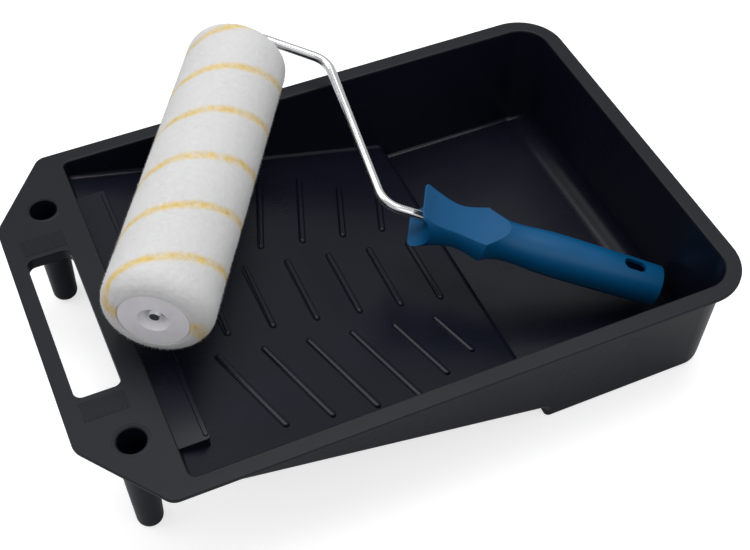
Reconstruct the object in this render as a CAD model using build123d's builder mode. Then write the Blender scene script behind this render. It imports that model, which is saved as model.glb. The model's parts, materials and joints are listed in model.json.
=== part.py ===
"""Paint tray with a cage-frame paint roller lying across its rim.

The frame's origin is the centre of the flat face under the tray's deep well.
+X runs along the tray towards the deep end, +Y across it, +Z up.
"""
from build123d import *
from math import atan, cos, pi, radians, sin, tan
import os

# ---------------------------------------------------------------- tray dimensions
tray_length = 425.0
tray_width = 290.0
tray_height = 86.0
wall = 2.0
flange_thickness = 2.2
flange_width = 11.0          # along both sides and the deep end
grip_flange = 54.5           # the wide flange at the shallow end
draft_angle = 3.0
rim_corner_radius = 33.0
basin_corner_radius = 21.0   # at the deep end
shallow_corner_radius = 6.0

ramp_slope = 0.2526
ramp_start_depth = 13.0      # below the rim, at the shallow end of the ramp
ramp_end = 235.0             # from the shallow end of the basin to the step
step_lean = 2.0
step_round = 7.0
floor_round = 3.0
end_wall_round = 15.0
end_wall_relief = 0.1        # keeps the round's cut through the corners clean
rim_round = 1.2              # between the flange and the basin

chamfer_length = 40.5        # cut corners of the grip flange, along the tray
chamfer_width = 54.2         # and across it
chamfer_rounds = (14.0, 9.0)  # at the outer edge, and at the sides

slot_length = 115.2
slot_width = 28.4
slot_edge = 10.5             # from the outer edge to the slot
slot_radius = 5.0
slot_skirt = 8.0

leg_edge = 32.0              # from the outer edge to the leg's axis
leg_spacing = 194.6
leg_hole_radius = 9.3
leg_tip_radius = 8.2
leg_wall = 2.0
leg_lip = 0.2

ledge_length = 20.0
ledge_width = 215.0
ledge_depth = 9.5            # below the rim
bead_width = 3.2
bead_height = 0.7

rib_width = 5.0
rib_height = 1.8
rib_pitch = 30.0
rib_count = 6
rib_slant = 19.5
centre_rib_length = 57.0
side_rib_length = 68.0
side_rib_near = 41.5         # from the middle line to the near end of a side rib

tread_count = 16
tread_pitch = 1.75
tread_length = 14.0
tread_width = 0.9
tread_height = 0.4
tread_gap = 3.6              # from the slot to the tread

# -------------------------------------------------------------- roller dimensions
sleeve_length = 229.0
core_bore_radius = 22.2
core_radius = 23.5
pile_radius = 34.9
pile_round = 5.0

rod_radius = 3.4
axle_near = 3.4              # the rod's outer end, from the sleeve's outer end
axle_far = 258.0             # the first bend
bend_b = (59.3, 258.5)       # out from the axle, along the axle
bend_c = (118.9, 144.0)
rod_grip = 110.0             # from the last bend to the rod's end inside the handle
bend_radii = [12.0, 16.0, 18.0]

cap_radius = 21.8
cap_length = 14.0
dimple_radius = 9.5
dimple_depth = 6.8
cap_running_clearance = 0.05
stop_flange_radius = 24.6
stop_flange_thickness = 2.6
cage_wire_radius = 1.0
cage_wire_count = 5
cage_socket_radius = 18.0
cage_bow_radius = 20.9

washer_thickness = 0.8
outer_washer_radius = 4.5
inner_washer_radius = 7.0
nut_radius = 4.4
nut_top = 2.4
collar_radius = 5.2
collar_length = 5.0
end_play = 0.1

handle_tilt = 2.4            # in the roller's plane, away from square to the axle
handle_front = 22.5          # from the last bend to the tips of the guard
handle_end = 195.0           # from the last bend to the open end
guard_ridge = 70.0
guard_notch_radius = 16.5
guard_notch_floor = 32.5
guard_tip_round = 2.5
ridge_round = 0.6
socket_radius = 11.0
socket_depth = 70.0
socket_mouth_radius = 11.6
socket_mouth_depth = 32.0
boss_radius = 6.2
boss_end = 120.0
boss_root = 58.0
hang_hole_length = 16.0
hang_hole_width = 8.5
hang_hole_edge = 21.0        # from the handle's end to the hole's middle

roller_heading = 57.75       # of the axle, from +X towards +Y
handle_droop = 18.0          # of the handle, below level
sleeve_rest_gap = 0.5
roller_from_basin = (10.5, -48.5)

# ------------------------------------------------------------------ derived places
basin_length = tray_length - grip_flange - flange_width
basin_width = tray_width - 2 * flange_width
rim_z = tray_height
floor_z = wall
well_middle = 348.5          # from the shallow outer edge to the origin
edge_x = -well_middle
basin_x = edge_x + grip_flange
basin_end_x = basin_x + basin_length
basin_mid_x = (basin_x + basin_end_x) / 2
ramp_z = rim_z - ramp_start_depth
step_x = basin_x + ramp_end
draft_rate = tan(radians(draft_angle))
ramp_angle = atan(ramp_slope)
leg_x = edge_x + leg_edge
leg_places = [(leg_x, leg_spacing / 2), (leg_x, -leg_spacing / 2)]
slot_x = edge_x + slot_edge + slot_width / 2


def ramp_height(x):
    """Height of the ramp's upper face."""
    return ramp_z - ramp_slope * (x - basin_x)


# -------------------------------------------------------------------- basin solid
def basin(skin, over):
    """The basin's inner space, grown outwards by skin, up to over above the rim."""
    drop = skin / cos(ramp_angle)
    grow = skin / cos(radians(draft_angle))
    top_z = rim_z + over
    spread = over * draft_rate
    end_x = basin_end_x + grow + end_wall_relief
    end_foot_x = end_x - draft_rate * (rim_z - floor_z + skin)
    end_top_x = end_x + spread
    start_x = basin_x - 20.0
    step_top = step_x - skin
    with BuildPart() as solid:
        with BuildSketch(Plane.XY.offset(top_z)):
            with Locations((basin_mid_x, 0)):
                Rectangle(basin_length + 2 * (grow + spread), basin_width + 2 * (grow + spread))
            fillet(vertices().group_by(Axis.X)[0], shallow_corner_radius + skin)
            fillet(vertices().group_by(Axis.X)[-1], basin_corner_radius + skin)
        extrude(amount=-(top_z - floor_z + skin), taper=draft_angle)
        with BuildSketch(Plane.XZ):
            with BuildLine():
                Polyline(
                    (start_x, top_z),
                    (start_x, ramp_height(start_x) - drop),
                    (step_top, ramp_height(step_top) - drop),
                    (step_top + step_lean, floor_z - skin),
                    (end_foot_x, floor_z - skin),
                    (end_top_x, top_z),
                    close=True,
                )
            make_face()
            corners = vertices().group_by(Axis.Y)
            foot = corners[0].sort_by(Axis.X)
            fillet(foot[-1], end_wall_round + skin)
            step_corner = vertices().sort_by_distance((step_top, ramp_height(step_top) - drop))[0]
            fillet(step_corner, step_round + skin)
        extrude(amount=tray_width, both=True, mode=Mode.INTERSECT)
        low = [
            edge
            for edge in edges()
            if edge.center().Z < rim_z - 5.0 and abs(edge.center().Y) > basin_width / 2 - 12.0
            and edge.length > 12.0 and edge.bounding_box().size.Y < 8.0
        ]
        if skin > 0:
            fillet(low, floor_round + skin)
        else:
            fillet(low, floor_round)
    return solid.part


outer_basin = basin(wall, 0.0)
inner_basin = basin(0.0, 20.0)

# ------------------------------------------------------------- repeated tray details
ramp_middle_x = basin_x + ramp_end / 2
ramp_plane = Plane(
    origin=(ramp_middle_x, 0, ramp_height(ramp_middle_x)),
    x_dir=(cos(ramp_angle), 0, -sin(ramp_angle)),
    z_dir=(sin(ramp_angle), 0, cos(ramp_angle)),
)


def rib_run(length, height, plane):
    """One raised rib with rounded ends and a rounded top, along X of its plane."""
    with BuildPart() as rib:
        with BuildSketch(plane):
            SlotOverall(length, rib_width)
        extrude(amount=height)
        fillet(faces().sort_by(Axis(plane.origin, plane.z_dir))[-1].edges(), height * 0.75)
    return rib.part


centre_rib_x = [basin_x + 58.0 + rib_pitch * i for i in range(rib_count)]
side_rib_x = [basin_x + 45.0 + rib_pitch * i for i in range(rib_count)]


def rib_set():
    """Three rows of ribs: straight ones in the middle, slanted ones on both sides."""
    ribs = []
    sunk = 1.0
    for x in centre_rib_x:
        origin = Vector(x, 0, ramp_height(x)) - ramp_plane.z_dir * sunk
        plane = Plane(origin=origin, x_dir=(0, 1, 0), z_dir=ramp_plane.z_dir)
        ribs.append(rib_run(centre_rib_length, rib_height + sunk, plane))
    for x in side_rib_x:
        length = min(side_rib_length, side_rib_length - 0.5 * (x - side_rib_x[3]))
        reach = side_rib_near + length / 2 * cos(radians(rib_slant))
        middle_x = x + length / 2 * sin(radians(rib_slant))
        for side in (1, -1):
            along = Vector(sin(radians(rib_slant)), side * cos(radians(rib_slant)), 0)
            lift = Vector(0, 0, -ramp_slope * along.X)
            origin = Vector(middle_x, side * reach, ramp_height(middle_x)) - ramp_plane.z_dir * sunk
            plane = Plane(origin=origin, x_dir=along + lift, z_dir=ramp_plane.z_dir)
            ribs.append(rib_run(length, rib_height + sunk, plane))
    return ribs


# ------------------------------------------------------------------------------ tray
ribs = rib_set()
half_width = tray_width / 2
ledge_x = basin_x + ledge_length / 2
ledge_z = rim_z - ledge_depth

with BuildPart() as tray:
    # flat flange with two cut corners and two round ones
    with BuildSketch(Plane.XY.offset(rim_z)):
        with BuildLine():
            Polyline(
                (edge_x, half_width - chamfer_width),
                (edge_x + chamfer_length, half_width),
                (edge_x + tray_length, half_width),
                (edge_x + tray_length, -half_width),
                (edge_x + chamfer_length, -half_width),
                (edge_x, -half_width + chamfer_width),
                close=True,
            )
        make_face()
        fillet(vertices().group_by(Axis.X)[-1], rim_corner_radius)
        fillet(vertices().group_by(Axis.X)[0], chamfer_rounds[0])
        fillet(vertices().filter_by(lambda v: abs(v.X - edge_x - chamfer_length) < 1.0), chamfer_rounds[1])
    extrude(amount=-flange_thickness)
    fillet(faces().sort_by(Axis.Z)[-1].edges(), 0.8)
    add(outer_basin)
    add(inner_basin, mode=Mode.SUBTRACT)
    fillet(edges().group_by(Axis.Z)[-1], rim_round)
    # ledge at the top of the ramp, hollow underneath
    with BuildSketch(Plane.XY.offset(ledge_z)):
        with Locations((ledge_x - 0.5, 0)):
            RectangleRounded(ledge_length + 1.0, ledge_width, 2.0)
    extrude(amount=-(ramp_start_depth - ledge_depth + ramp_slope * ledge_length + wall / 2))
    with BuildSketch(Plane.XY.offset(ledge_z)):
        with Locations((basin_x + ledge_length - bead_width / 2, 0)):
            SlotOverall(ledge_width - 4.0, bead_width, rotation=90)
    extrude(amount=bead_height, taper=30)
    with BuildSketch(Plane.XY.offset(ledge_z - wall)):
        with Locations((ledge_x - 0.5, 0)):
            Rectangle(ledge_length - 2 * wall, ledge_width - 2 * wall)
    extrude(amount=-14.0, mode=Mode.SUBTRACT)
    # ribs on the ramp
    for rib in ribs:
        add(rib)
    # hand slot with a skirt round it
    with BuildSketch(Plane.XY.offset(rim_z - flange_thickness)):
        with Locations((slot_x, 0)):
            RectangleRounded(slot_width + 2 * wall, slot_length + 2 * wall, slot_radius + wall)
    extrude(amount=-(slot_skirt - flange_thickness))
    # hollow legs under the cut corners
    for x, y in leg_places:
        with BuildSketch(Plane(origin=(x, y, 0), x_dir=(1, 0, 0), z_dir=(0, -1, 0))):
            with BuildLine():
                Polyline(
                    (0, 0),
                    (leg_tip_radius, 0),
                    (leg_hole_radius + leg_wall, rim_z - 1.0),
                    (leg_hole_radius + leg_wall, rim_z),
                    (leg_hole_radius + leg_wall - 0.6, rim_z + leg_lip),
                    (0, rim_z + leg_lip),
                    close=True,
                )
            make_face()
            fillet(vertices().sort_by_distance((leg_tip_radius, 0))[0], 5.0)
        revolve(axis=Axis((x, y, 0), (0, 0, 1)))
    with BuildSketch(Plane.XY.offset(rim_z + 5.0)):
        with Locations((slot_x, 0)):
            RectangleRounded(slot_width, slot_length, slot_radius)
    extrude(amount=-(slot_skirt + 10.0), mode=Mode.SUBTRACT)
    for x, y in leg_places:
        with BuildSketch(Plane(origin=(x, y, 0), x_dir=(1, 0, 0), z_dir=(0, -1, 0))):
            with BuildLine():
                Polyline(
                    (0, leg_wall),
                    (leg_tip_radius - leg_wall, leg_wall),
                    (leg_hole_radius - 0.5, rim_z - 0.5),
                    (leg_hole_radius + 0.4, rim_z + leg_lip),
                    (leg_hole_radius + 0.4, rim_z + 5.0),
                    (0, rim_z + 5.0),
                    close=True,
                )
            make_face()
            fillet(vertices().sort_by_distance((leg_tip_radius - leg_wall, leg_wall))[0], 3.0)
        revolve(axis=Axis((x, y, 0), (0, 0, 1)), mode=Mode.SUBTRACT)
    # finger treads beside both ends of the slot
    for side in (1, -1):
        tread_y = side * (slot_length / 2 + tread_gap + tread_length / 2)
        with BuildSketch(Plane.XY.offset(rim_z)):
            with Locations((slot_x, tread_y)):
                with GridLocations(tread_pitch, 1.0, tread_count, 1):
                    Rectangle(tread_width, tread_length)
        extrude(amount=tread_height, taper=20)

tray.part.label = "tray"

# ----------------------------------------------------------------------- roller frame
# Roller plane: X from the axle towards the handle, Y along the axle, Z up.
heading = radians(roller_heading)
droop = radians(handle_droop)
axle_dir = Vector(cos(heading), sin(heading), 0)
level_out = Vector(sin(heading), -cos(heading), 0)
handle_dir = level_out * cos(droop) - Vector(0, 0, sin(droop))
roller_up = level_out * sin(droop) + Vector(0, 0, cos(droop))
roller_origin = Vector(
    basin_x + roller_from_basin[0],
    roller_from_basin[1],
    rim_z + sleeve_rest_gap + pile_radius,
)
roller = Plane(origin=roller_origin, x_dir=handle_dir, z_dir=roller_up)
axle = Axis(roller_origin, axle_dir)


def across_axle(station):
    """Plane square to the axle, facing the sleeve's outer end."""
    return Plane(origin=roller_origin + axle_dir * station, x_dir=handle_dir, z_dir=-axle_dir)


def turned(points):
    """A solid turned about the axle from (radius, station) points."""
    with BuildPart() as solid:
        with BuildSketch(roller):
            with BuildLine():
                Polyline(*points, close=True)
            make_face()
        revolve(axis=axle)
    return solid.part


seat = dimple_depth
washer_near = seat - end_play
bore_radius = rod_radius + cap_running_clearance
inner_cap_start = sleeve_length - cap_length
stop_start = sleeve_length + 0.3
stop_end = stop_start + stop_flange_thickness
hub_radius = 8.5
rim_inner = 16.0
web = 5.0

with BuildPart() as rod:
    last_dir = Vector(cos(radians(handle_tilt)), sin(radians(handle_tilt)))
    rod_end = Vector(*bend_c) + last_dir * rod_grip
    with BuildLine(roller) as rod_path:
        FilletPolyline(
            (0, axle_near),
            (0, axle_far),
            bend_b,
            bend_c,
            (rod_end.X, rod_end.Y),
            radius=bend_radii,
        )
    with BuildSketch(across_axle(axle_near)):
        Circle(rod_radius)
    sweep(path=rod_path.wire())
rod.part.label = "rod"

with BuildPart() as push_nut:
    add(
        turned(
            [
                (0, nut_top),
                (nut_radius - 1.4, nut_top),
                (nut_radius, nut_top + 1.4),
                (nut_radius, washer_near - washer_thickness),
                (rod_radius, washer_near - washer_thickness),
                (rod_radius, axle_near),
                (0, axle_near),
            ]
        )
    )
push_nut.part.label = "push_nut"

with BuildPart() as outer_washer:
    with BuildSketch(across_axle(washer_near)):
        Circle(outer_washer_radius)
        Circle(rod_radius, mode=Mode.SUBTRACT)
    extrude(amount=washer_thickness)
outer_washer.part.label = "outer_washer"

with BuildPart() as inner_washer:
    with BuildSketch(across_axle(stop_end + end_play + washer_thickness)):
        Circle(inner_washer_radius)
        Circle(rod_radius, mode=Mode.SUBTRACT)
    extrude(amount=washer_thickness)
inner_washer.part.label = "inner_washer"

with BuildPart() as stop_collar:
    collar_start = stop_end + end_play + washer_thickness
    with BuildSketch(across_axle(collar_start + collar_length)):
        Circle(collar_radius)
        Circle(rod_radius, mode=Mode.SUBTRACT)
    extrude(amount=collar_length)
    fillet(edges().filter_by(GeomType.CIRCLE).group_by(SortBy.RADIUS)[-1], 0.8)
stop_collar.part.label = "stop_collar"

# ------------------------------------------------------------------------------ cage
with BuildPart() as outer_cap:
    add(
        turned(
            [
                (dimple_radius, 0),
                (cap_radius - 0.8, 0),
                (cap_radius, 0.8),
                (cap_radius, cap_length),
                (rim_inner, cap_length),
                (rim_inner, web),
                (hub_radius + 3.0, web),
                (hub_radius, web + 4.0),
                (hub_radius, cap_length),
                (bore_radius, cap_length),
                (bore_radius, seat),
                (outer_washer_radius + 0.3, seat),
            ]
        )
    )
    with BuildSketch(across_axle(cap_length)):
        with PolarLocations(cage_socket_radius, cage_wire_count):
            Circle(cage_wire_radius)
    extrude(amount=web, mode=Mode.SUBTRACT)
outer_cap.part.label = "outer_cap"

with BuildPart() as inner_cap:
    add(
        turned(
            [
                (bore_radius, inner_cap_start),
                (hub_radius, inner_cap_start),
                (hub_radius, sleeve_length - web),
                (rim_inner, sleeve_length - web),
                (rim_inner, inner_cap_start),
                (cap_radius, inner_cap_start),
                (cap_radius, stop_start),
                (stop_flange_radius, stop_start),
                (stop_flange_radius, stop_end - 0.6),
                (stop_flange_radius - 0.6, stop_end),
                (bore_radius, stop_end),
            ]
        )
    )
    with BuildSketch(across_axle(inner_cap_start + web)):
        with PolarLocations(cage_socket_radius, cage_wire_count):
            Circle(cage_wire_radius)
    extrude(amount=web, mode=Mode.SUBTRACT)
inner_cap.part.label = "inner_cap"


def cage_wire(index):
    """One bowed spring wire between the two caps."""
    turn = 2 * pi * index / cage_wire_count
    outward = handle_dir * cos(turn) + roller_up * sin(turn)
    plane = Plane(origin=roller_origin, x_dir=axle_dir, z_dir=axle_dir.cross(outward))
    near = cap_length - web
    far = inner_cap_start + web
    with BuildPart() as wire:
        with BuildLine(plane) as path:
            FilletPolyline(
                (near, cage_socket_radius),
                (near + 14.0, cage_socket_radius),
                (near + 30.0, cage_bow_radius),
                (far - 30.0, cage_bow_radius),
                (far - 14.0, cage_socket_radius),
                (far, cage_socket_radius),
                radius=25.0,
            )
        start = Plane(origin=plane.from_local_coords((near, cage_socket_radius, 0)), z_dir=axle_dir)
        with BuildSketch(start):
            Circle(cage_wire_radius)
        sweep(path=path.wire())
    wire.part.label = f"cage_wire_{index + 1}"
    return wire.part


cage_wires = [cage_wire(index) for index in range(cage_wire_count)]

# ---------------------------------------------------------------------------- sleeve
with BuildPart() as sleeve_core:
    with BuildSketch(across_axle(sleeve_length)):
        Circle(core_radius)
        Circle(core_bore_radius, mode=Mode.SUBTRACT)
    extrude(amount=sleeve_length)
sleeve_core.part.label = "sleeve_core"

with BuildPart() as sleeve_pile:
    with BuildSketch(across_axle(sleeve_length)):
        Circle(pile_radius)
        Circle(core_radius, mode=Mode.SUBTRACT)
    extrude(amount=sleeve_length)
    fillet(edges().filter_by(GeomType.CIRCLE).group_by(SortBy.RADIUS)[-1], pile_round)
sleeve_pile.part.label = "sleeve_pile"

# ---------------------------------------------------------------------------- handle
tilt = radians(handle_tilt)
grip_dir = handle_dir * cos(tilt) + axle_dir * sin(tilt)
grip_origin = roller.from_local_coords((bend_c[0], bend_c[1], 0))
grip_top = Plane(origin=grip_origin, x_dir=grip_dir, z_dir=roller_up)
grip_side = Plane(origin=grip_origin, x_dir=grip_dir, z_dir=grip_dir.cross(roller_up))
grip_axis = Axis(grip_origin, grip_dir)
socket_floor = handle_end - socket_depth
mouth_floor = handle_end - socket_mouth_depth
wing = 40.0                  # well outside the handle's widest place
rest_front = handle_front - 3.0
rest_back = 88.0

with BuildPart() as handle:
    # round body: flared guard, waist, ridge and grip
    with BuildSketch(grip_top):
        with BuildLine():
            guard = Spline(
                (handle_front, 22.0),
                (31.0, 19.2),
                (41.0, 16.2),
                (51.0, 14.6),
                (61.0, 16.3),
                (guard_ridge, 18.9),
            )
            grip = Spline(
                (guard_ridge, 18.9),
                (78.0, 15.2),
                (87.0, 13.6),
                (106.0, 14.4),
                (139.0, 15.0),
                (181.0, 14.4),
                (handle_end, 14.2),
            )
            Polyline(grip @ 1, (handle_end, 0), (handle_front, 0), guard @ 0)
        make_face()
    revolve(axis=grip_axis)
    fillet(faces().sort_by(grip_axis)[0].edges(), guard_tip_round)
    # scooped thumb rests above and below
    for side in (1, -1):
        with BuildSketch(grip_side.offset(-wing)):
            with BuildLine():
                rest = Spline(
                    (rest_front, side * 17.6),
                    (24.5, side * 15.5),
                    (31.0, side * 12.3),
                    (41.0, side * 9.0),
                    (51.0, side * 7.5),
                    (61.0, side * 7.7),
                    (71.0, side * 9.2),
                    (rest_back, side * 16.0),
                )
                Polyline(rest @ 1, (rest_back, side * wing), (rest_front, side * wing), rest @ 0)
            make_face()
        extrude(amount=2 * wing, mode=Mode.SUBTRACT)
    # notch across the front, between the upper and the lower wing
    with BuildSketch(grip_side.offset(-wing)):
        with Locations((guard_notch_floor - guard_notch_radius, 0)):
            Circle(guard_notch_radius)
    extrude(amount=2 * wing, mode=Mode.SUBTRACT)
    # softened ridges round the thumb rests
    ridges = [
        edge for edge in edges() if 40.0 < grip_side.to_local_coords(edge.center()).X < 95.0
    ]
    fillet(ridges, ridge_round)
    # pole socket, and the hollow round the rod's boss beyond it
    with BuildSketch(grip_top):
        with BuildLine():
            Polyline(
                (handle_end, 0),
                (handle_end, socket_mouth_radius),
                (mouth_floor, socket_mouth_radius),
                (mouth_floor, socket_radius),
                (socket_floor, socket_radius),
                (socket_floor, socket_radius - 0.6),
                (boss_root + 30.0, socket_radius - 0.6),
                (boss_root + 12.0, boss_radius + 2.5),
                (boss_root + 12.0, boss_radius),
                (boss_end, boss_radius),
                (boss_end, 0),
                close=True,
            )
        make_face()
    revolve(axis=grip_axis, mode=Mode.SUBTRACT)
    with BuildSketch(grip_top):
        with Locations((handle_end - hang_hole_edge, 0)):
            SlotOverall(hang_hole_length, hang_hole_width)
    extrude(amount=wing, both=True, mode=Mode.SUBTRACT)
    # blind hole for the rod
    with BuildSketch(Plane(origin=grip_origin, x_dir=roller_up, z_dir=grip_dir)):
        Circle(rod_radius)
    extrude(amount=rod_grip, mode=Mode.SUBTRACT)
handle.part.label = "handle"

subparts = [
    tray.part,
    rod.part,
    push_nut.part,
    outer_washer.part,
    inner_washer.part,
    stop_collar.part,
    outer_cap.part,
    inner_cap.part,
    *cage_wires,
    sleeve_core.part,
    sleeve_pile.part,
    handle.part,
]
os.makedirs("parts", exist_ok=True)
for piece in subparts:
    export_step(piece, f"parts/{piece.label}.step")
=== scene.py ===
"""Looks for the paint tray and its roller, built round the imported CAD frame."""
import json
import math
import random

import bpy
import numpy as np
from mathutils import Matrix, Vector, noise


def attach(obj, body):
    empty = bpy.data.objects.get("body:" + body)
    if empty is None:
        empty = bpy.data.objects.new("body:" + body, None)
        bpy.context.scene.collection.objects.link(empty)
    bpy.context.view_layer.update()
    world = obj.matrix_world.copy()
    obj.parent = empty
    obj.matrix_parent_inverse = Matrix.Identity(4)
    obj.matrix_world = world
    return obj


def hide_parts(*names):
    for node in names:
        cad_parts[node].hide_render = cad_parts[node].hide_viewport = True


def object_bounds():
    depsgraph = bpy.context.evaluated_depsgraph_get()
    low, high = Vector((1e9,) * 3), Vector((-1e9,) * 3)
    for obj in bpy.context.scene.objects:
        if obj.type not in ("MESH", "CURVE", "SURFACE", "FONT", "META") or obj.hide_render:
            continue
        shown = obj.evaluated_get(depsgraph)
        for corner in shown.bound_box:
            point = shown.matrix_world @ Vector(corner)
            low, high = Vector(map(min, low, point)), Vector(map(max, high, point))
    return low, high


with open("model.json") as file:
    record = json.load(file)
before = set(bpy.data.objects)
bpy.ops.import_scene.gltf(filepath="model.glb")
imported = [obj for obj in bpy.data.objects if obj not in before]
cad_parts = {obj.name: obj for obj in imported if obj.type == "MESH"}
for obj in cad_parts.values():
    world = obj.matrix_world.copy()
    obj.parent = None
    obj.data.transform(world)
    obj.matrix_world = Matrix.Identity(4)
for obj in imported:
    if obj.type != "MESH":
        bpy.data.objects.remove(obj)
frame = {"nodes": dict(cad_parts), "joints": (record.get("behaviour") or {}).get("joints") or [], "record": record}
cad_low, cad_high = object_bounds()
nodes = frame["nodes"]

MM = 0.001
SEED = 41
top_face = 86.0 * MM         # height of the tray's flange
top_fade = (2.6 * MM, 1.2 * MM)     # the flange's finish starts and is full this far below it

camera_place = (-0.3571, -0.5237, 0.7092)
camera_turn = (40.30, -0.11, -23.95)    # degrees
camera_lens = 62.86                     # mm
film_width = 36.0                       # mm


# ------------------------------------------------------------------ roller's own frame
def joint(name):
    """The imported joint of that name."""
    return next(j for j in frame["joints"] if j["name"] == name)


axle_start = Vector(joint("cage_spin")["pos_m"])
axle_dir = Vector(joint("cage_spin")["axis"]).normalized()
sleeve_length = 229.0 * MM
core_radius = 23.5 * MM
pile_radius = 34.9 * MM
level_out = axle_dir.cross(Vector((0, 0, 1))).normalized()
roller_axes = Matrix((level_out, Vector((0, 0, 1)), axle_dir)).transposed()


def on_sleeve(along, turn, radius):
    """A point on the sleeve: along its axle, turned from level, out from its axis."""
    return axle_start + roller_axes @ Vector((radius * math.cos(turn), radius * math.sin(turn), along))


# --------------------------------------------------------------------- small helpers
def new_object(name, data):
    """A new object in the scene, with that mesh, light or camera."""
    piece = bpy.data.objects.new(name, data)
    bpy.context.collection.objects.link(piece)
    return piece


class Shader:
    """Builds one material's node tree with short calls."""

    def __init__(self, name, **sockets):
        self.material = bpy.data.materials.new(name)
        self.material.use_nodes = True
        self.tree = self.material.node_tree
        self.surface = self.tree.nodes["Principled BSDF"]
        for socket, value in sockets.items():
            self.surface.inputs[socket.replace("_", " ")].default_value = value

    def add(self, kind, **settings):
        node = self.tree.nodes.new(kind)
        for key, value in settings.items():
            setattr(node, key, value)
        return node

    def link(self, output, socket):
        self.tree.links.new(output, socket)

    def place(self):
        """Where a point lies on the object, in metres."""
        return self.add("ShaderNodeTexCoord").outputs["Object"]

    def scaled(self, vector, scale):
        """Coordinates stretched by a number for each axis, so that a noise runs in streaks."""
        node = self.add("ShaderNodeMapping")
        node.inputs["Scale"].default_value = scale
        self.link(vector, node.inputs["Vector"])
        return node.outputs["Vector"]

    def noise(self, vector, scale, detail=3.0, roughness=0.55, distortion=0.0):
        """Cloudy noise, with that many waves to the metre."""
        node = self.add("ShaderNodeTexNoise")
        node.inputs["Scale"].default_value = scale
        node.inputs["Detail"].default_value = detail
        node.inputs["Roughness"].default_value = roughness
        node.inputs["Distortion"].default_value = distortion
        self.link(vector, node.inputs["Vector"])
        return node.outputs["Fac"]

    def math(self, operation, first, second=0.0, clamp=False):
        """One sum on two values, each a number or an output."""
        node = self.add("ShaderNodeMath", operation=operation, use_clamp=clamp)
        for socket, value in zip(node.inputs, (first, second)):
            if isinstance(value, (int, float)):
                socket.default_value = value
            else:
                self.link(value, socket)
        return node.outputs[0]

    def remap(self, value, low, high, to_low, to_high):
        """Moves low..high to to_low..to_high, and holds the ends."""
        node = self.add("ShaderNodeMapRange")
        for socket, number in zip(node.inputs[1:5], (low, high, to_low, to_high)):
            socket.default_value = number
        self.link(value, node.inputs[0])
        return node.outputs[0]

    def contrast(self, value):
        """A noise, stretched so that it runs from 0 to 1."""
        return self.remap(value, 0.3, 0.7, 0.0, 1.0)

    def blend(self, factor, first, second):
        """A colour between two others, each a colour or an output."""
        node = self.add("ShaderNodeMix", data_type="RGBA")
        self.link(factor, node.inputs["Factor"])
        for socket, value in zip((node.inputs[6], node.inputs[7]), (first, second)):
            if isinstance(value, tuple):
                socket.default_value = (*value, 1.0)
            else:
                self.link(value, socket)
        return node.outputs[2]

    def bump(self, height, strength, distance, normal=None):
        """Relief of that depth, on top of another normal where one is given."""
        node = self.add("ShaderNodeBump")
        node.inputs["Strength"].default_value = strength
        node.inputs["Distance"].default_value = distance
        self.link(height, node.inputs["Height"])
        if normal is not None:
            self.link(normal, node.inputs["Normal"])
        return node.outputs["Normal"]

    def finish(self, color, roughness, normal):
        """Joins the three outputs to the surface and hands over the material."""
        for name, value in (("Base Color", color), ("Roughness", roughness), ("Normal", normal)):
            self.link(value, self.surface.inputs[name])
        return self.material


# ------------------------------------------------------------------------- materials
def tray_plastic():
    """Near-black moulded plastic: a smooth satin basin, and a paler, finely grained top face."""
    s = Shader("tray_plastic", Specular_IOR_Level=0.26, IOR=1.48)
    place = s.place()
    flow = s.noise(s.scaled(place, (6, 22, 22)), 1.0, 4.0, 0.6, 0.6)
    cloud = s.noise(place, 14.0, 4.0)
    rub = s.noise(s.scaled(place, (30, 220, 220)), 1.0, 5.0, 0.7)
    grain = s.noise(place, 1400.0, 2.0)
    split = s.add("ShaderNodeSeparateXYZ")
    s.link(place, split.inputs[0])
    top = s.remap(split.outputs[2], top_face - top_fade[0], top_face - top_fade[1], 0.0, 1.0)
    basin = s.blend(s.contrast(flow), (0.0040, 0.0049, 0.0105), (0.0050, 0.0060, 0.0130))
    flange = s.blend(s.contrast(flow), (0.0048, 0.0056, 0.0090), (0.0062, 0.0070, 0.0110))
    color = s.blend(top, basin, flange)
    roughness = s.math("ADD", s.remap(cloud, 0.25, 0.75, 0.24, 0.31), s.remap(rub, 0.35, 0.8, 0.0, 0.03))
    roughness = s.math("ADD", roughness, s.math("MULTIPLY", top, 0.20))
    normal = s.bump(grain, 0.25, 0.06 * MM)
    normal = s.bump(flow, 0.12, 1.2 * MM, normal)
    return s.finish(color, roughness, normal)


def grip_plastic():
    """Strong blue moulded plastic, semi-gloss, with a very fine skin."""
    s = Shader("grip_plastic", Specular_IOR_Level=0.25, IOR=1.49)
    place = s.place()
    cloud = s.noise(place, 30.0, 4.0)
    skin = s.noise(place, 900.0, 3.0)
    color = s.blend(s.contrast(cloud), (0.0006, 0.064, 0.168), (0.0008, 0.074, 0.195))
    roughness = s.remap(cloud, 0.25, 0.75, 0.34, 0.42)
    return s.finish(color, roughness, s.bump(skin, 0.2, 0.05 * MM))


def cap_plastic():
    """Light lilac-grey plastic with a soft, slightly waxy surface."""
    s = Shader("cap_plastic", Subsurface_Weight=0.12, Subsurface_Scale=0.002, IOR=1.49)
    place = s.place()
    cloud = s.noise(place, 90.0, 4.0)
    skin = s.noise(place, 1100.0, 2.0)
    color = s.blend(s.contrast(cloud), (0.76, 0.74, 0.78), (0.83, 0.81, 0.85))
    roughness = s.remap(cloud, 0.25, 0.75, 0.42, 0.52)
    return s.finish(color, roughness, s.bump(skin, 0.15, 0.05 * MM))


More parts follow.
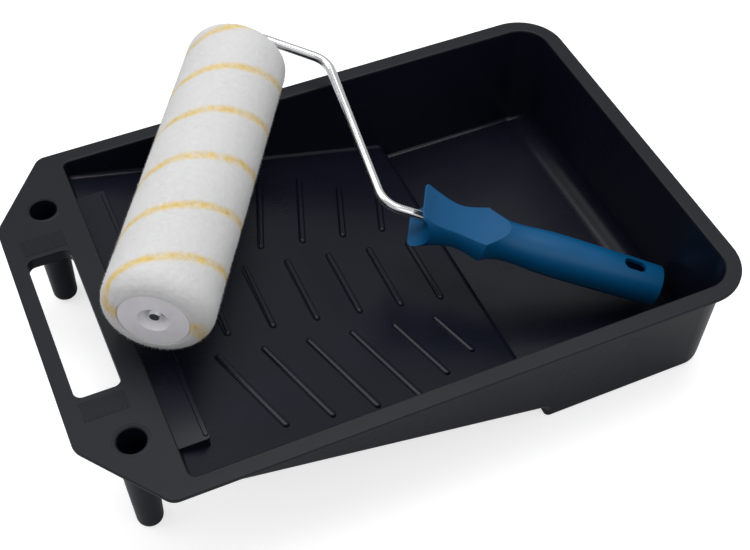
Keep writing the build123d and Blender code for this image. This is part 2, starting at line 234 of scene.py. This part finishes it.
def wire_steel():
    """Bright plated steel wire with faint drawing lines and light handling marks."""
    s = Shader("wire_steel", Metallic=1.0)
    place = s.place()
    drawn = s.noise(s.scaled(place, (60, 60, 900)), 1.0, 3.0)
    haze = s.noise(place, 70.0, 4.0)
    color = s.blend(s.contrast(haze), (0.74, 0.75, 0.77), (0.84, 0.84, 0.85))
    roughness = s.remap(haze, 0.2, 0.8, 0.13, 0.22)
    return s.finish(color, roughness, s.bump(drawn, 0.08, 0.03 * MM))


def zinc_steel():
    """Zinc plated pressed steel: greyer and more hazy than the wire."""
    s = Shader("zinc_steel", Metallic=1.0)
    place = s.place()
    spangle = s.noise(place, 600.0, 4.0, 0.6)
    color = s.blend(s.contrast(spangle), (0.66, 0.67, 0.70), (0.82, 0.83, 0.85))
    roughness = s.remap(spangle, 0.2, 0.8, 0.16, 0.30)
    return s.finish(color, roughness, s.bump(spangle, 0.1, 0.03 * MM))


def core_board():
    """Resin-bound tube, pale and slightly fibrous."""
    s = Shader("core_board")
    place = s.place()
    fibre = s.noise(s.scaled(place, (500, 500, 120)), 1.0, 4.0, 0.65)
    color = s.blend(s.contrast(fibre), (0.50, 0.46, 0.40), (0.66, 0.63, 0.57))
    roughness = s.remap(fibre, 0.2, 0.8, 0.55, 0.75)
    return s.finish(color, roughness, s.bump(fibre, 0.3, 0.1 * MM))


# Two gold yarns wind round the sleeve. A point's line count says how many yarn lines lie before it.
stripe_spacing = 41.0 * MM   # along the sleeve, from one line to the next
stripe_starts = 2
stripe_first = 22.8 * MM     # where a line crosses the turn stripe_turn
stripe_turn = math.radians(71.0)
stripe_half_width = 2.6 * MM
stripe_wander = 0.7 * MM     # how far a line strays, and how far its edge frays
stripe_fray = 1.0 * MM


def pile_fabric():
    """Off-white nap with gold yarn lines. The UV map holds the sleeve's length and turn."""
    s = Shader("pile_fabric", Sheen_Weight=0.25, Sheen_Roughness=0.55, Specular_IOR_Level=0.15)
    place = s.place()
    uv = s.add("ShaderNodeUVMap", uv_map="sleeve").outputs["UV"]
    split = s.add("ShaderNodeSeparateXYZ")
    s.link(uv, split.inputs[0])
    wander = s.remap(s.noise(place, 55.0, 3.0), 0.3, 0.7, -stripe_wander, stripe_wander)
    fray = s.remap(s.noise(place, 420.0, 3.0, 0.7), 0.25, 0.75, -stripe_fray, stripe_fray)
    along = s.math("ADD", s.math("MULTIPLY", split.outputs[0], sleeve_length), s.math("ADD", wander, fray))
    offset = -stripe_first / stripe_spacing - stripe_starts * stripe_turn / math.tau
    lines = s.math("ADD", s.math("DIVIDE", along, stripe_spacing), offset)
    lines = s.math("ADD", lines, s.math("MULTIPLY", split.outputs[1], float(stripe_starts)))
    from_line = s.math("ABSOLUTE", s.math("SUBTRACT", lines, s.math("ROUND", lines)))
    from_line = s.math("MULTIPLY", from_line, stripe_spacing)
    yarn = s.remap(from_line, 0.4 * stripe_half_width, 1.7 * stripe_half_width, 1.0, 0.0)
    worn = s.remap(s.noise(place, 150.0, 4.0, 0.6), 0.3, 0.62, 0.35, 1.0)
    yarn = s.math("MULTIPLY", yarn, worn, clamp=True)
    tuft = s.noise(place, 260.0, 4.0, 0.65)
    cloud = s.noise(place, 22.0, 3.0)
    white = s.blend(s.remap(tuft, 0.25, 0.75, 0.0, 1.0), (0.575, 0.575, 0.58), (0.63, 0.63, 0.63))
    white = s.blend(s.remap(cloud, 0.3, 0.7, 0.0, 0.25), white, (0.59, 0.59, 0.595))
    gold = s.blend(s.contrast(tuft), (0.60, 0.42, 0.10), (0.72, 0.54, 0.20))
    color = s.blend(yarn, white, gold)
    fine = s.noise(place, 900.0, 3.0, 0.7)
    roughness = s.remap(fine, 0.2, 0.8, 0.85, 1.0)
    return s.finish(color, roughness, s.bump(fine, 0.5, 0.25 * MM, s.bump(tuft, 0.5, 0.6 * MM)))


# ------------------------------------------------------------------- the sleeve's nap
outer_lip = (-0.4 * MM, 21.9 * MM)                  # the nap laps over the core's outer end
outer_round = 12.5 * MM      # how far along the sleeve its rounded ends reach
inner_lip = (sleeve_length - 1.2 * MM, core_radius)
inner_brow = (sleeve_length + 1.6 * MM, 27.0 * MM)  # the nap stands out round the stop flange
inner_round = 7.5 * MM
nap_depth = 0.6 * MM         # fibre tips stand this far over the skin
skin_radius = pile_radius - nap_depth
rows_along = 250
rows_round = 216
end_points = 17              # on each rounded end
end_rows = 3                 # rows at each end that stay clear of relief and fibres
skin_lining = 0.05 * MM      # the skin's two ends step in by this where it closes inside
wave_height = 0.40           # mm, as the other heights of the relief
wave_scale = 38.0            # waves and tufts to the metre
tuft_height = 0.16
tuft_scale = 420.0
groove_depth = 0.35          # along each yarn
groove_width = 2.2 * MM
skin_inset = 0.35            # keeps the waves under the fibres' tips


def nap_end(start, reach):
    """Quarter round from a point near the core out to the skin's full radius."""
    along, radius = start
    rise = skin_radius - radius
    return [
        (along + reach * (1 - math.sin(a)), radius + rise * math.cos(a))
        for a in np.linspace(math.pi / 2, 0, end_points)
    ]


def skin_profile():
    """(along, radius) from the outer end to the inner end, evenly spaced."""
    near = [outer_lip] + nap_end(outer_lip, outer_round)
    far = [inner_lip] + nap_end(inner_brow, -inner_round)
    path = near + far[::-1]
    steps = [0.0]
    for (s0, r0), (s1, r1) in zip(path, path[1:]):
        steps.append(steps[-1] + math.hypot(s1 - s0, r1 - r0))
    wanted = np.linspace(0, steps[-1], rows_along)
    along, radius = (np.interp(wanted, steps, values) for values in zip(*path))
    return list(zip(along, radius))


def yarn_distance(along, turn):
    """Distance along the sleeve from the nearest gold yarn line."""
    lines = (along - stripe_first) / stripe_spacing + stripe_starts * (turn - stripe_turn) / math.tau
    return abs(lines - round(lines)) * stripe_spacing


def nap_height(along, turn, radius):
    """How far the skin stands in or out: soft waves, tufts and a groove along each yarn."""
    place = Vector((along, math.cos(turn) * radius, math.sin(turn) * radius))
    wave = noise.noise(place * wave_scale) * wave_height
    tuft = noise.fractal(place * tuft_scale, 0.7, 2.0, 3) * tuft_height
    groove = groove_depth * math.exp(-(yarn_distance(along, turn) / groove_width) ** 2)
    return (wave + tuft - groove - skin_inset) * MM


def sleeve_object(name, verts, faces, uvs):
    """A smooth mesh object whose UV map holds each corner's length and turn on the sleeve."""
    mesh = bpy.data.meshes.new(name)
    mesh.from_pydata(verts, [], faces)
    layer = mesh.uv_layers.new(name="sleeve")
    layer.data.foreach_set("uv", np.array(uvs, dtype=np.float32).ravel())
    mesh.polygons.foreach_set("use_smooth", [True] * len(faces))
    mesh.update()
    return new_object(name, mesh)


def nap_skin():
    """The closed skin under the fibres."""
    profile = skin_profile()
    rings = profile + [(along, radius - skin_lining) for along, radius in (inner_lip, outer_lip)]
    verts = []
    for index, (along, radius) in enumerate(rings):
        for k in range(rows_round):
            turn = math.tau * k / rows_round
            out = radius
            if end_rows <= index < rows_along - end_rows:
                out += nap_height(along, turn, radius)
            verts.append(on_sleeve(along, turn, out))
    faces = []
    uvs = []
    count = len(rings)
    for i in range(count):
        j = (i + 1) % count
        for k in range(rows_round):
            m = (k + 1) % rows_round
            faces.append((i * rows_round + k, j * rows_round + k, j * rows_round + m, i * rows_round + m))
            for ring, step in ((i, k), (j, k), (j, k + 1), (i, k + 1)):
                uvs.append((rings[ring][0] / sleeve_length, step / rows_round))
    return sleeve_object("sleeve_nap", verts, faces, uvs)


fibre_count = 36000
fibre_length = 2.2 * MM      # the longest
fibre_shortest = 0.72        # as a share of the longest
fibre_width = 0.16 * MM
fibre_foot = 0.6             # half the root triangle, as a share of the width
fibre_root = 1.2 * MM        # how far under the skin a fibre starts
fibre_lean = 0.34            # spread of the lean along the sleeve and round it
spike_faces = ((0, 2, 1), (0, 1, 3), (1, 2, 3), (2, 0, 3))
spike_corners = 12           # of its four faces together


def nap_fibres():
    """Short leaning fibres, each a slim closed spike, rooted in the skin."""
    rng = random.Random(SEED)
    profile = skin_profile()
    verts = []
    faces = []
    uvs = []
    for _ in range(fibre_count):
        place = rng.uniform(end_rows, rows_along - 1 - end_rows)
        low = int(place)
        share = place - low
        (s0, r0), (s1, r1) = profile[low], profile[low + 1]
        along = s0 + (s1 - s0) * share
        radius = r0 + (r1 - r0) * share
        turn = rng.uniform(0, math.tau)
        slope = Vector((s1 - s0, r1 - r0)).normalized()
        outward = axle_dir * -slope.y + (on_sleeve(0, turn, 1.0) - axle_start) * slope.x
        side = outward.cross(axle_dir).normalized()
        root = on_sleeve(along, turn, radius - fibre_root)
        lean = axle_dir * rng.gauss(0, fibre_lean) + side * rng.gauss(0, fibre_lean)
        length = fibre_length * rng.uniform(fibre_shortest, 1.0)
        tip = root + (outward + lean).normalized() * length
        across = side.lerp(axle_dir, rng.random()).normalized() * fibre_width
        other = outward.cross(across)
        base = len(verts)
        verts += [root - across * fibre_foot, root + across * fibre_foot, root + other * fibre_foot, tip]
        faces += [tuple(base + corner for corner in face) for face in spike_faces]
        uvs += [(along / sleeve_length, turn / math.tau)] * spike_corners
    return sleeve_object("sleeve_fibres", verts, faces, uvs)


# ---------------------------------------------------------------------------- pieces
def dress(node, material):
    """Gives a CAD node its finished material."""
    mesh = nodes[node].data
    mesh.materials.clear()
    mesh.materials.append(material)


finishes = {
    "tray_plastic": tray_plastic(),
    "grip_plastic": grip_plastic(),
    "cap_plastic": cap_plastic(),
    "wire_steel": wire_steel(),
    "zinc_steel": zinc_steel(),
    "core_board": core_board(),
    "pile_fabric": pile_fabric(),
}
for entry in frame["record"]["subparts"]:
    dress(entry["node"], finishes[entry["material_slot"]])

for piece in (nap_skin(), nap_fibres()):
    piece.data.materials.append(finishes["pile_fabric"])
    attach(piece, "sleeve")
    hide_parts("sleeve_pile")


# ----------------------------------------------------------------- floor, light, view
floor_half = 30.0            # m
floor_color = (0.60, 0.60, 0.60, 1.0)
floor_glow = 0.66            # seen by the camera alone, so that the paper reads as white
world_strength = 0.53
white_light = (1.0, 1.0, 1.0, 1.0)
softboxes = (                # name, place, size, power in watts
    ("top", (0.2, 0.35, 2.1), (1.5, 1.3), 25.0),
    ("key", (-1.5, 0.6, 1.9), (1.7, 1.5), 11.0),
    ("fill", (0.3, -1.8, 1.7), (1.8, 1.2), 6.0),
)


def floor():
    """A wide sheet of pale paper."""
    mesh = bpy.data.meshes.new("floor")
    corners = [(x * floor_half, y * floor_half, 0) for x, y in ((-1, -1), (1, -1), (1, 1), (-1, 1))]
    mesh.from_pydata(corners, [], [(0, 1, 2, 3)])
    s = Shader("floor_paper", Roughness=0.9, Specular_IOR_Level=0.1)
    s.surface.inputs["Base Color"].default_value = floor_color
    s.surface.inputs["Emission Color"].default_value = white_light
    seen = s.add("ShaderNodeLightPath").outputs["Is Camera Ray"]
    s.link(s.math("MULTIPLY", seen, floor_glow), s.surface.inputs["Emission Strength"])
    mesh.materials.append(s.material)
    new_object("floor", mesh)


def softbox(name, place, size, power, target):
    """A soft rectangular light that faces the target."""
    light = bpy.data.lights.new(name, "AREA")
    light.shape = "RECTANGLE"
    light.size, light.size_y = size
    light.energy = power
    lamp = new_object(name, light)
    lamp.location = place
    lamp.rotation_euler = (target - Vector(place)).to_track_quat("-Z", "Y").to_euler()


def studio():
    """An even white sky and the softboxes."""
    world = bpy.data.worlds.new("studio")
    world.use_nodes = True
    background = world.node_tree.nodes["Background"]
    background.inputs["Color"].default_value = white_light
    background.inputs["Strength"].default_value = world_strength
    bpy.context.scene.world = world
    middle = (cad_low + cad_high) / 2
    for name, place, size, power in softboxes:
        softbox(name, place, size, power, middle)


def camera():
    """The photograph's viewpoint: high in front, turned towards the deep end."""
    data = bpy.data.cameras.new("camera")
    data.lens = camera_lens
    data.sensor_width = film_width
    viewer = new_object("camera", data)
    viewer.location = camera_place
    viewer.rotation_euler = [math.radians(angle) for angle in camera_turn]
    bpy.context.scene.camera = viewer


floor()
studio()
camera()
bpy.context.scene.view_settings.view_transform = "Standard"
